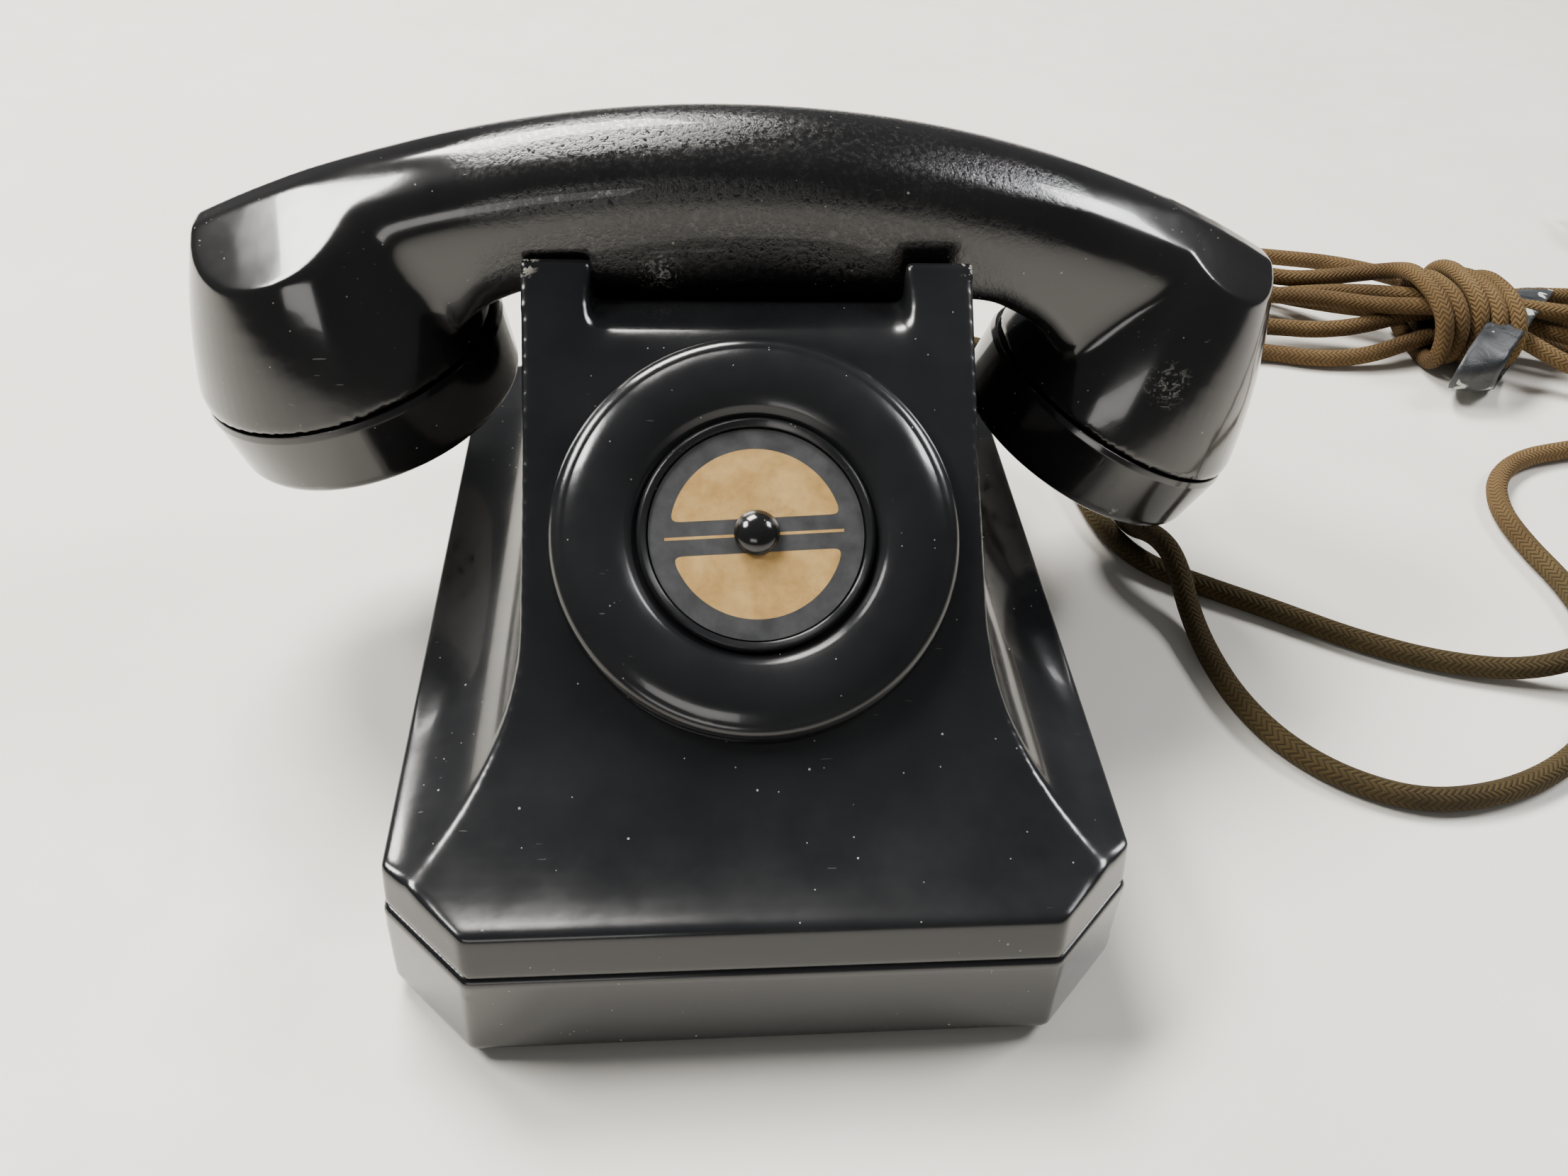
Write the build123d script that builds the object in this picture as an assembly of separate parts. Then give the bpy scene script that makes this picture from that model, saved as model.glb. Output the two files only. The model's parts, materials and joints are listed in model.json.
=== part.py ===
from build123d import *
import math
import os

os.makedirs("parts", exist_ok=True)

# Desk telephone without a dial. Millimetres, +Z up, front towards -Y.
# The shapes below are drawn in a working frame: x from the plane of symmetry, y back from the
# foremost edge of the base, z up from the underside of the metal base. save() moves each part to
# the part's own frame, whose origin is under the middle of the whole telephone, on the table.

# ---------------------------------------------------------------- driving dimensions
base_width = 136.0
base_depth = 184.0
base_corner = 15.8  # cut corner at the front, measured along each side
rear_corner = 8.0
pan_height = 21.4  # lower band of the base
rim_height = 29.4  # rim where the sloping surfaces start
foot_height = 2.5
foot_radius = 7.0
wall = 2.6

face_tilt = 37.56  # slope of the face that carries the blanking disc
disc_y = 68.0
disc_z = 62.55
disc_radius = 38.7
bezel_radius = 22.2
label_radius = 20.2
button_radius = 4.3

neck_half = 43.8
flank_radius = 23.2
horn_inner = 31.0
horn_top = 96.2
shelf_z = 87.3
cradle_y = 132.0
cradle_half = 18.6
cradle_floor = 82.5

cup_radius = 32.7
handle_half = 16.5
arch_radius = 251.0
arch_top = 59.0
cap_depth = 16.7

cord_diameter = 5.6
cord_rest = cord_diameter / 2 + 0.1
lift_travel = 80.0
plunger_travel = 5.0

slope = math.tan(math.radians(face_tilt))
frame_x = -3.0  # plane of symmetry of the base, so that the whole telephone is centred
to_frame = Location((frame_x, -base_depth / 2, foot_height))


def save(node, shape):
    """Write one node in the part's own frame."""
    export_step(to_frame * shape, f"parts/{node}.step")


def save_in_frame(node, shape):
    """Write one node that is drawn on the floor, from the middle of the base."""
    export_step(Pos(frame_x, 0, 0) * shape, f"parts/{node}.step")


def cylinder(x, y, z, radius, height):
    """Upright cylinder standing on z."""
    return Pos(x, y, z + height / 2) * Cylinder(radius, height)


def box(x0, x1, y0, y1, z0, z1):
    """Box between two corners."""
    size = Box(x1 - x0, y1 - y0, z1 - z0)
    return Pos((x0 + x1) / 2, (y0 + y1) / 2, (z0 + z1) / 2) * size


def both_sides(shape):
    """The shape and its mirror image across the plane of symmetry."""
    return shape + mirror(shape, about=Plane.YZ)


def turned(points, axis=Axis.Z):
    """Solid of revolution of an outline given as (radius, height) points."""
    outline = Polyline(*[(r, 0, h) for r, h in points], close=True)
    return revolve(make_face(outline), axis=axis)


def face_height(y):
    """Height of the sloping face plane at y."""
    return disc_z + (y - disc_y) * slope


# ---------------------------------------------------------------- housing and base
def plan(half_width, front, rear, cut, rear_cut, z):
    """Base outline with cut corners at one height."""
    points = [
        (-half_width, front + cut, z),
        (-half_width + cut, front, z),
        (half_width - cut, front, z),
        (half_width, front + cut, z),
        (half_width, rear - rear_cut, z),
        (half_width - rear_cut, rear, z),
        (-half_width + rear_cut, rear, z),
        (-half_width, rear - rear_cut, z),
    ]
    return make_face(Polyline(*points, close=True))


def side_outline():
    """Side view of the housing without its horns: sweep, face, shelf, cradle and back."""
    rim_y = 4.6
    sweep_end = 41.0
    sweep_radius = 59.7
    half_angle = math.radians(face_tilt / 2)
    mid_y = rim_y + sweep_radius * math.sin(half_angle)
    mid_z = rim_height + sweep_radius * (1 - math.cos(half_angle))
    front_lip = cradle_y - cradle_half
    rear_lip = cradle_y + cradle_half
    shape = Polyline((rim_y, rim_height), (-6, rim_height), (-6, pan_height), (190, pan_height))
    shape += Polyline((190, pan_height), (190, rim_height), (180, rim_height))
    shape += ThreePointArc((180, rim_height), (172.2, 36.5), (169, 50))
    shape += Line((169, 50), (163, 83))
    shape += ThreePointArc((163, 83), (161.4, 86.1), (158, shelf_z))
    shape += Polyline((158, shelf_z), (rear_lip, shelf_z), (rear_lip, cradle_floor + 3))
    shape += RadiusArc((rear_lip, cradle_floor + 3), (rear_lip - 3, cradle_floor), 3, short_sagitta=True)
    shape += Line((rear_lip - 3, cradle_floor), (front_lip + 3, cradle_floor))
    shape += RadiusArc((front_lip + 3, cradle_floor), (front_lip, cradle_floor + 3), 3, short_sagitta=True)
    shape += Polyline((front_lip, cradle_floor + 3), (front_lip, shelf_z), (105.5, shelf_z))
    shape += ThreePointArc((105.5, shelf_z), (101.0, 86.55), (97.0, face_height(97.0)))
    shape += Line((97.0, face_height(97.0)), (sweep_end, face_height(sweep_end)))
    shape += ThreePointArc((sweep_end, face_height(sweep_end)), (mid_y, mid_z), (rim_y, rim_height))
    return make_face(shape)


def front_outline():
    """Front view of the housing: straight neck and hollow flanks that flare to the rim."""
    rim_half = 67.0
    bend = flank_radius * math.sqrt(0.5)
    top = rim_height + flank_radius
    mid = (rim_half - bend, top - bend)
    shape = Polyline((-rim_half, rim_height), (-80, rim_height), (-80, 10))
    shape += Polyline((-80, 10), (80, 10), (80, rim_height), (rim_half, rim_height))
    shape += ThreePointArc((rim_half, rim_height), mid, (neck_half, top))
    shape += Polyline((neck_half, top), (neck_half, 72), (45.2, 110))
    shape += Polyline((45.2, 110), (-45.2, 110), (-neck_half, 72), (-neck_half, top))
    shape += ThreePointArc((-neck_half, top), (-mid[0], mid[1]), (-rim_half, rim_height))
    return make_face(shape)


def inner_side_outline():
    """Side view of the hollow inside the housing."""
    return make_face(
        Polyline(
            (8, pan_height),
            (8, rim_height - 2.4),
            (24, rim_height - 0.6),
            (45, face_height(45) - 3.6),
            (98, face_height(98) - 3.6),
            (103, cradle_floor - 3),
            (157, cradle_floor - 3),
            (160, 80),
            (165.5, 50),
            (170, 36),
            (177, rim_height - 2.4),
            (177, pan_height),
            close=True,
        )
    )


def inner_front_outline():
    """Front view of the hollow inside the housing."""
    half = [(64, pan_height), (64, rim_height - 2.2), (54, 29.5), (46, 35.5), (42, 43), (41, 54), (41, 100)]
    mirrored = [(-x, z) for x, z in reversed(half)]
    return make_face(Polyline(*half, *mirrored, close=True))


def horn_pair(outline):
    """A pair of horns from their side view, one on each side, cut to the flanks."""
    bar = extrude(Plane.YZ * outline, amount=90, both=True)
    strip = both_sides(box(horn_inner, 48, 60, 200, 60, 110))
    return bar & strip


def build_horns():
    """Four horns that hold the handset, drawn as two pairs."""
    front_lip = cradle_y - cradle_half
    rear_lip = cradle_y + cradle_half
    lip_z = horn_top - 1.6
    front = Polyline((88, 70), (88, face_height(88)), (110.6, face_height(110.6)))
    front += ThreePointArc((110.6, face_height(110.6)), (112.4, horn_top), (front_lip, lip_z))
    front += Polyline((front_lip, lip_z), (front_lip, 84), (112, 84), (112, 80), (96, 80), (88, 70))
    rear = Polyline((rear_lip, 84), (rear_lip, lip_z))
    rear += ThreePointArc((rear_lip, lip_z), (rear_lip + 1.0, horn_top), (rear_lip + 2.8, lip_z + 1.0))
    rear += Polyline((rear_lip + 2.8, lip_z + 1.0), (162.2, 84), (rear_lip, 84))
    return horn_pair(make_face(front)) + horn_pair(make_face(rear))


def build_housing():
    """Cast upper housing: hollow, open below, with the disc opening and the plunger holes."""
    lower = plan(base_width / 2 - 1.2, 1.4, base_depth - 1.4, 15.6, rear_corner, pan_height)
    upper = plan(base_width / 2 - 1.2, 4.6, base_depth - 3.6, 15.2, rear_corner, rim_height)
    block = loft([lower, upper], ruled=True) + extrude(upper, amount=80, dir=(0, 0, 1))
    flanks = extrude(Plane.XZ * front_outline(), amount=300, both=True)
    body = extrude(Plane.YZ * side_outline(), amount=90, both=True) & flanks & block
    body += build_horns() & flanks
    hollow = extrude(Plane.YZ * inner_side_outline(), amount=64, both=True)
    hollow &= extrude(Plane.XZ * inner_front_outline(), amount=300, both=True)
    inside = plan(base_width / 2 - 4.2, 8.0, base_depth - 7.0, 15.6, rear_corner, pan_height - 1)
    hollow &= extrude(inside, amount=90, dir=(0, 0, 1))
    body -= hollow
    body -= on_face(Pos(0, 0, -6) * Cylinder(30.0, 16))
    for x in plunger_xs:
        body -= cylinder(x, cradle_y, cradle_floor - 8, bush_radius, 12)
    return body


def on_face(shape):
    """Place a shape drawn about Z on the sloping face, with Z along the face's normal."""
    return Location((0, disc_y, disc_z), (face_tilt, 0, 0)) * shape


def build_pan():
    """Lower band and floor of the base, open above."""
    outer = loft(
        [
            plan(base_width / 2, 0, base_depth, base_corner, rear_corner, 0),
            plan(base_width / 2 - 0.8, 1.0, base_depth - 1.0, base_corner, rear_corner, pan_height),
        ],
        ruled=True,
    )
    inset = wall + 1.0
    inner = plan(base_width / 2 - wall - 0.8, inset, base_depth - inset, base_corner, rear_corner, 2.2)
    pan = outer - extrude(inner, amount=40, dir=(0, 0, 1))
    for x, y in screw_places:
        pan += both_sides(cylinder(x, y, 0.5, 5.0, pan_height - 0.5))
        pan -= both_sides(cylinder(x, y, -1, 1.6, pan_height + 2))
        pan -= both_sides(cylinder(x, y, -1, 3.6, 2.4))
    for x, _ in gland_places:
        pan -= Pos(x, base_depth, gland_z) * Rot(90, 0, 0) * Cylinder(gland_hole, 16)
    return pan


screw_places = [(48.0, 34.0), (56.5, 126.0)]
foot_places = [(50.0, 14.0), (54.0, 168.0)]


def build_screws():
    """Four screws through the pan into the housing's bosses."""
    one = cylinder(0, 0, 0.2, 3.2, 1.2) + cylinder(0, 0, 0.2, 1.4, pan_height + 3)
    one -= box(-3.4, 3.4, -0.5, 0.5, -1, 0.8)
    screws = [both_sides(Pos(x, y, 0) * one) for x, y in screw_places]
    return screws[0] + screws[1]


def build_feet():
    """Four rubber feet under the pan."""
    side = [(foot_radius - 1.2, -foot_height), (foot_radius, -foot_height + 1.2), (foot_radius, 0)]
    foot = turned([(0, 0), (0, -foot_height), *side])
    feet = [both_sides(Pos(x, y, 0) * foot) for x, y in foot_places]
    return feet[0] + feet[1]


# ---------------------------------------------------------------- blanking disc on the face
def build_disc():
    """Dished ring of the blanking disc, drawn about the face's normal."""
    edge = 0.3
    outer = Line((36.6, 0, edge), (disc_radius, 0, edge))
    outer += ThreePointArc((disc_radius, 0, edge), (38.3, 0, 2.8), (35.6, 0, 4.4))
    outer += ThreePointArc((35.6, 0, 4.4), (30.0, 0, 5.5), (24.6, 0, 4.0))
    outer += Polyline((24.6, 0, 4.0), (bezel_radius, 0, 2.0), (18.0, 0, 2.0), (18.0, 0, edge), (24.0, 0, edge))
    outer += ThreePointArc((24.0, 0, edge), (30.5, 0, 3.1), (34.6, 0, 2.2))
    outer += Line((34.6, 0, 2.2), (36.6, 0, edge))
    return on_face(revolve(make_face(outer), axis=Axis.Z))


def build_bezel():
    """Narrow ring that clamps the label's edge."""
    ring = [(label_radius + 0.1, 2.0), (bezel_radius - 0.2, 2.0), (bezel_radius + 0.1, 3.2)]
    ring += [(bezel_radius - 0.5, 3.9), (label_radius + 0.4, 3.4)]
    return on_face(turned(ring))


def build_label():
    """Plain round label plate, without any marking."""
    plate = Pos(0, 0, 2.4) * Cylinder(label_radius, 0.8)
    return on_face(plate - Pos(0, 0, 2.4) * Cylinder(2.1, 4))


def build_button():
    """Domed button on a stem that holds the disc to its bracket."""
    dome = Pos(0, 0, 0.63) * Sphere(5.17) & cylinder(0, 0, 2.9, button_radius, 4.0)
    return on_face(dome + cylinder(0, 0, -6.4, 2.0, 10.0))


def build_disc_bracket():
    """Cup-shaped bracket that spans the opening behind the disc."""
    cup = [(2.1, -6.4), (26.0, -6.4), (26.0, -4.6), (29.6, -4.6), (29.6, -0.4), (28.0, -0.4), (28.0, -3.0)]
    cup += [(24.4, -3.0), (24.4, -4.8), (2.1, -4.8)]
    return on_face(turned(cup))


# ---------------------------------------------------------------- hook switch
plunger_xs = (-22.0, 22.0)
plunger_radius = 3.5
bush_radius = 6.0
lever_pivot = (0.0, 118.0, 60.0)
lever_pin = 1.5


def handle_underside(x):
    """Height of the handle's underside above the cradle at x, with the handset at rest."""
    return handset_z + underside_z - (x - handset_x) * math.sin(math.radians(handset_roll))


def build_plunger(x):
    """Plunger with a rounded top that the handset holds down."""
    top = handle_underside(x) - 0.5
    rod = cylinder(x, cradle_y, lever_pivot[2] + 2.2, plunger_radius, top - lever_pivot[2] - 2.2)
    rod = fillet(rod.edges().group_by(Axis.Z)[-1], 0.8)
    collar = cylinder(x, cradle_y, 66.0, 5.4, 2.0)
    return rod + collar


def build_bush(x):
    """Guide bush of one plunger."""
    bush = cylinder(x, cradle_y, cradle_floor - 6.6, bush_radius, 6.4)
    bush += cylinder(x, cradle_y, cradle_floor - 8.0, 8.0, 4.9)
    return bush - cylinder(x, cradle_y, cradle_floor - 12, plunger_radius + 0.08, 20)


def build_lever():
    """Rocking frame under both plungers, with a tail that works the contact springs."""
    x0, y0, z0 = lever_pivot
    tube = Pos(x0, y0, z0) * Rot(0, 90, 0) * Cylinder(3.4, 50)
    arms = both_sides(box(17, 25, y0 + 1, cradle_y + 4, z0 - 1.4, z0 + 1.4))
    tail = box(-4, 4, y0 - 15, y0 - 1, z0 - 1.2, z0 + 1.2)
    lever = tube + arms + tail
    return lever - Pos(x0, y0, z0) * Rot(0, 90, 0) * Cylinder(lever_pin + 0.06, 60)


def build_lever_pin():
    """Pivot pin of the rocking frame."""
    x0, y0, z0 = lever_pivot
    return Pos(x0, y0, z0) * Rot(0, 90, 0) * Cylinder(lever_pin, 58)


def build_switch_bracket():
    """Bracket under the cradle floor that carries the pivot and the contact springs."""
    top = cradle_floor - 3.0
    x0, y0, z0 = lever_pivot
    plate = box(-38, 38, 108, 152, top - 8.0, top - 5.1)
    ears = both_sides(box(26.0, 28.5, y0 - 5, y0 + 5, z0 - 5, top - 6))
    spacers = both_sides(box(33, 38, 112, 148, top - 6, top))
    bracket = plate + ears + spacers
    bracket -= both_sides(cylinder(plunger_xs[1], cradle_y, 60, 8.4, 20))
    return bracket - Pos(x0, y0, z0) * Rot(0, 90, 0) * Cylinder(lever_pin, 60)


def build_contact_springs():
    """Pile of three leaf springs with insulators, above the lever's tail."""
    leaves = [box(-3, 3, 92, 107.5, 63.4 + 1.6 * i, 63.8 + 1.6 * i) for i in range(3)]
    block = box(-5, 5, 88.5, 97, 62.4, 68.6)
    foot = box(-5, 5, 88.5, 97, 58.0, 62.4) + box(-5, 5, 88.5, 93, 44.0, 60.0)
    return block + foot + leaves[0] + leaves[1] + leaves[2]


def build_switch_post():
    """Upright that carries the contact springs from the base floor."""
    return box(-7, 7, 86, 96, 2.2, 4.0) + box(-5, 5, 89, 92, 2.2, 44.0)


# ---------------------------------------------------------------- ringer and network in the base
gong_x = 31.0
gong_y = 150.0
gong_radius = 24.0
gong_base = 14.0
clapper_pivot = (0.0, 120.0)


def build_gong(side):
    """One bell gong."""
    shell = Polyline((gong_radius, 0, 0), (gong_radius - 1.6, 0, 0))
    shell += ThreePointArc((gong_radius - 1.6, 0, 0), (17.6, 0, 9.6), (3.0, 0, 12.4))
    shell += Line((3.0, 0, 12.4), (3.0, 0, 14.0))
    shell += ThreePointArc((3.0, 0, 14.0), (18.9, 0, 10.8), (gong_radius, 0, 0))
    return Pos(side * gong_x, gong_y, gong_base) * revolve(make_face(shell), axis=Axis.Z)


def build_gong_post(side):
    """Post and screw that carry one gong."""
    x = side * gong_x
    post = cylinder(x, gong_y, 4.2, 5.0, gong_base + 7.2) + cylinder(x, gong_y, 22, 2.8, 9.0)
    return post + cylinder(x, gong_y, gong_base + 15.0, 5.4, 2.6)


def build_ringer_frame():
    """Ringer chassis on the base floor, with the pivot post of the armature."""
    plate = box(-40, 40, 98, 160, 2.2, 4.2)
    post = cylinder(clapper_pivot[0], clapper_pivot[1], 4.2, 2.0, 38.0)
    yoke = box(-22, 22, 100, 105, 4.2, 34.0)
    return plate + post + yoke


def build_ringer_coil(side):
    """One ringer coil with its core and end cheeks."""
    x = side * 16.0
    y = 117.0
    coil = cylinder(x, y, 4.2, 3.0, 26.0)
    coil += cylinder(x, y, 6.0, 9.0, 20.0)
    coil += cylinder(x, y, 5.0, 10.5, 1.4) + cylinder(x, y, 25.0, 10.5, 1.4)
    return coil


def build_clapper():
    """Armature, rod and ball that swing between the gongs."""
    x0, y0 = clapper_pivot
    hub = cylinder(x0, y0, 31.0, 4.4, 6.0)
    armature = box(-22, 22, y0 - 3.5, y0 + 3.5, 32.0, 35.0)
    rod = box(-0.9, 0.9, y0 + 3, gong_y - 1, 33.0, 34.6)
    rod += box(-0.9, 0.9, gong_y - 2.6, gong_y - 0.8, 20.0, 34.6)
    ball = Pos(0, gong_y - 1.7, 19.0) * Sphere(3.4)
    return hub + armature + rod + ball - cylinder(x0, y0, 0, 2.06, 60)


def build_capacitor():
    """Metal-cased capacitor with two lugs."""
    case = fillet(box(-60, -26, 44, 92, 2.4, 20.4).edges().filter_by(Axis.Y), 2.0)
    return case + box(-50, -48, 92, 97, 10, 13) + box(-38, -36, 92, 97, 10, 13)


def build_induction_coil():
    """Induction coil with square cheeks and a laminated core."""
    axis = Pos(36, 70, 14.4) * Rot(90, 0, 0)
    coil = axis * Cylinder(9.4, 40) + axis * Box(8, 8, 60)
    return coil + box(25, 47, 48, 51, 2.4, 26) + box(25, 47, 89, 92, 2.4, 26)


def build_terminal_board():
    """Insulating board for the inside wiring."""
    return box(-20, 20, 30, 58, 5.4, 8.0) + both_sides(box(14, 20, 30, 58, 2.2, 5.4))


def build_terminals():
    """Eight terminal screws on the board."""
    one = cylinder(0, 0, 8.0, 3.0, 2.4) + cylinder(0, 0, 10.4, 2.2, 1.0)
    places = [(-13.5 + 9 * i, y) for i in range(4) for y in (36.0, 52.0)]
    return Compound(children=[Pos(x, y, 0) * one for x, y in places])


# ---------------------------------------------------------------- handset
handset_x = 2.6
handset_y = cradle_y + 0.6
handset_z = 59.4
handset_turn = 2.2  # about the vertical
handset_roll = 2.4  # right end lower
handset_pitch = 1.0
underside_z = 25.4

handset_at = Pos(handset_x, handset_y, handset_z) * Rot(0, 0, handset_turn)
handset_at *= Rot(0, handset_roll, 0) * Rot(handset_pitch, 0, 0)

# seam centre of each cup in the handset's own frame, and the lean of its axis
cups = {
    "receiver": {"x": -87.4, "z": 4.4, "lean": 16.6},
    "transmitter": {"x": 87.4, "z": -4.4, "lean": 22.4},
}


def cup_frame(end):
    """Frame of one cup: origin at the seam, Z up along the cup's axis."""
    cup = cups[end]
    side = 1 if cup["x"] > 0 else -1
    return Pos(cup["x"], 0, cup["z"]) * Rot(0, side * cup["lean"], 0)


def barrel_tilt(end):
    """The barrel stands a little steeper than its seam."""
    side = 1 if cups[end]["x"] > 0 else -1
    return Rot(0, -6.0 * side, 0)


def cup_body(inset, floor):
    """Barrel of one cup about its own axis, from its seam upwards."""
    top = 52.0 - inset
    outline = Polyline((0, 0, floor), (cup_radius - inset, 0, floor))
    if floor < 0:
        outline += Line((cup_radius - inset, 0, floor), (cup_radius - inset, 0, 0))
    outline += ThreePointArc((cup_radius - inset, 0, 0), (26.4 - inset, 0, 20), (9.0, 0, top))
    outline += Polyline((9.0, 0, top), (0, 0, top), (0, 0, floor))
    return revolve(make_face(outline), axis=Axis.Z)


def arch_roof():
    """Ring whose arched top has a ridge and two sloping facets; it trims the handset's top."""
    half = 40.0
    fall = (half - 3.0) * math.tan(math.radians(24.0))
    section = Polyline((-half, 120), (-half, arch_radius - fall), (-3.0, arch_radius), (3.0, arch_radius))
    section += Polyline((3.0, arch_radius), (half, arch_radius - fall), (half, 120), (-half, 120))
    ring = revolve(make_face(Plane.YZ * section), axis=Axis.Y)
    return Pos(0, 0, arch_top - arch_radius) * ring


def handle_bar():
    """Arched grip with a rounded section; it runs down into both cups."""
    right = [(47.5, underside_z), (60.0, 20.0), (69.0, 12.6), (78.0, 4.0)]
    left = [(-x, z) for x, z in reversed(right)]
    over_cups = [(100.0, 14.0), (100.0, 80.0), (-100.0, 80.0), (-100.0, 14.0)]
    outline = Polyline(*right, *over_cups, *left, close=True)
    web = extrude(Plane.XZ * make_face(outline), amount=handle_half, both=True)
    shoulder = arch_radius - 14
    crown = arch_radius - 0.4
    section = Polyline((-handle_half, 150), (-handle_half, shoulder))
    section += ThreePointArc((-handle_half, shoulder), (-12.6, arch_radius - 4.6), (-4.0, crown))
    section += ThreePointArc((-4.0, crown), (0, arch_radius), (4.0, crown))
    section += ThreePointArc((4.0, crown), (12.6, arch_radius - 4.6), (handle_half, shoulder))
    section += Polyline((handle_half, shoulder), (handle_half, 150), (-handle_half, 150))
    ring = Pos(0, 0, arch_top - arch_radius) * revolve(make_face(Plane.YZ * section), axis=Axis.Y)
    web = chamfer(web.edges().filter_by(is_under_edge), 3.0)
    return web & ring


def is_under_edge(edge):
    """Lower long edges of the grip between the cups."""
    middle = edge.position_at(0.5)
    on_side = abs(abs(middle.Y) - handle_half) < 0.01
    return on_side and abs(middle.X) < 63 and middle.Z < underside_z + 0.01


def build_handle():
    """Grip and both cups in one moulding, hollowed for the two units."""
    body = handle_bar()
    for end in cups:
        place = cup_frame(end)
        body -= place * Pos(0, 0, -20) * Box(84, 90, 40)
        body += place * barrel_tilt(end) * cup_body(0, -6) - place * Pos(0, 0, -10) * Box(84, 90, 20)
    body &= arch_roof()
    for end in cups:
        body -= cup_frame(end) * cup_cavity()
    body -= handset_gland_at() * Cylinder(3.6, 30)
    return handset_at * body


def cup_cavity():
    """Hollow inside one cup, with the bore that takes the cap's collar."""
    return turned([(0, -1), (29.2, -1), (29.2, 6.0), (24.5, 14.0), (18.0, 22.0), (0, 24.0)])


def build_cap(end):
    """Screwed cap: seam step, tapered skirt, rounded edge, dished face with sound holes."""
    depth = cap_depth
    shell = Polyline((29.0, 0, 5.4), (29.0, 0, -0.4), (cup_radius, 0, -0.4), (33.1, 0, -1.8))
    shell += Line((33.1, 0, -1.8), (32.2, 0, -depth + 3))
    shell += ThreePointArc((32.2, 0, -depth + 3), (31.2, 0, -depth + 0.9), (29.0, 0, -depth))
    shell += ThreePointArc((29.0, 0, -depth), (15.0, 0, -depth + 1.8), (0, 0, -depth + 2.4))
    shell += Polyline((0, 0, -depth + 2.4), (0, 0, -depth + 5.4), (26.0, 0, -depth + 5.0))
    shell += Polyline((26.0, 0, -depth + 5.0), (26.0, 0, 5.4), (29.0, 0, 5.4))
    cap = revolve(make_face(shell), axis=Axis.Z)
    rings = {"receiver": [(0.0, 1), (8.0, 6)], "transmitter": [(0.0, 1), (7.0, 6), (14.0, 12)]}
    for radius, count in rings[end]:
        for i in range(count):
            angle = 2 * math.pi * i / count
            hole = Pos(radius * math.cos(angle), radius * math.sin(angle), -depth + 3) * Cylinder(1.5, 12)
            cap -= hole
    return handset_at * cup_frame(end) * cap


def build_unit(end):
    """Receiver or transmitter unit, a stepped puck behind its cap."""
    radius = {"receiver": 25.4, "transmitter": 25.0}[end]
    puck = [(0, -9.0), (radius, -9.0), (radius, -2.0), (radius - 4, 2.0)]
    puck += [(16.0, 4.0), (12.0, 12.0), (0, 12.0)]
    return handset_at * cup_frame(end) * turned(puck)


def handset_gland_at():
    """Frame of the handset's cord gland, Z pointing out of the cup's back."""
    return cup_frame("transmitter") * Pos(3, 25.0, 13.0) * Rot(-112, 8, 0)


def build_handset_gland():
    """Tapered sleeve where the cord leaves the transmitter cup."""
    sleeve = turned([(0, 0.5), (3.5, 0.5), (3.5, 7.0), (4.8, 7.4), (3.6, 16.0), (0, 16.0)])
    return handset_at * handset_gland_at() * sleeve


# ---------------------------------------------------------------- cords, in the part's own frame
gland_hole = 4.6
gland_z = 10.0
gland_places = [(30.0, "handset"), (50.0, "line")]
gland_end = base_depth / 2 + 15.0


def build_gland(x):
    """Rubber gland in the back wall of the base, tapering over the cord."""
    inside_wall = [(0, -6), (6.4, -6), (6.4, -4.0), (4.5, -3.8)]
    outside_wall = [(4.5, 0.1), (6.4, 0.3), (6.4, 2.4), (3.6, 15.0), (0, 15.0)]
    sleeve = turned(inside_wall + outside_wall)
    return Pos(x, base_depth, gland_z) * Rot(-90, 0, 0) * sleeve


def cord_tube(points):
    """Round cord along straight runs joined by wide tangent arcs."""
    corners = [Vector(*p) for p in points]
    radii = []
    for before, here, after in zip(corners, corners[1:], corners[2:]):
        turn = math.radians((here - before).get_angle(after - here))
        run = min((here - before).length, (after - here).length)
        radii.append(0.45 * run / math.tan(turn / 2))
    path = FilletPolyline(*corners, radius=radii)
    start = Plane(origin=corners[0], z_dir=corners[1] - corners[0])
    tube = sweep(start * Circle(cord_diameter / 2), path=path)
    ideal = math.pi * cord_diameter**2 / 4 * path.length
    print("cord length", round(path.length), "volume ratio", round(tube.volume / ideal, 4))
    print("cord radii", [round(r) for r in radii])
    return tube


z = cord_rest
over = cord_rest + cord_diameter + 3.2
from_middle = Pos(-frame_x, 0, 0) * to_frame
handset_gland_tip = (from_middle * handset_at * handset_gland_at() * Pos(0, 0, 16)).position
handset_gland_way = (from_middle * handset_at * handset_gland_at() * Pos(0, 0, 32)).position

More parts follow.
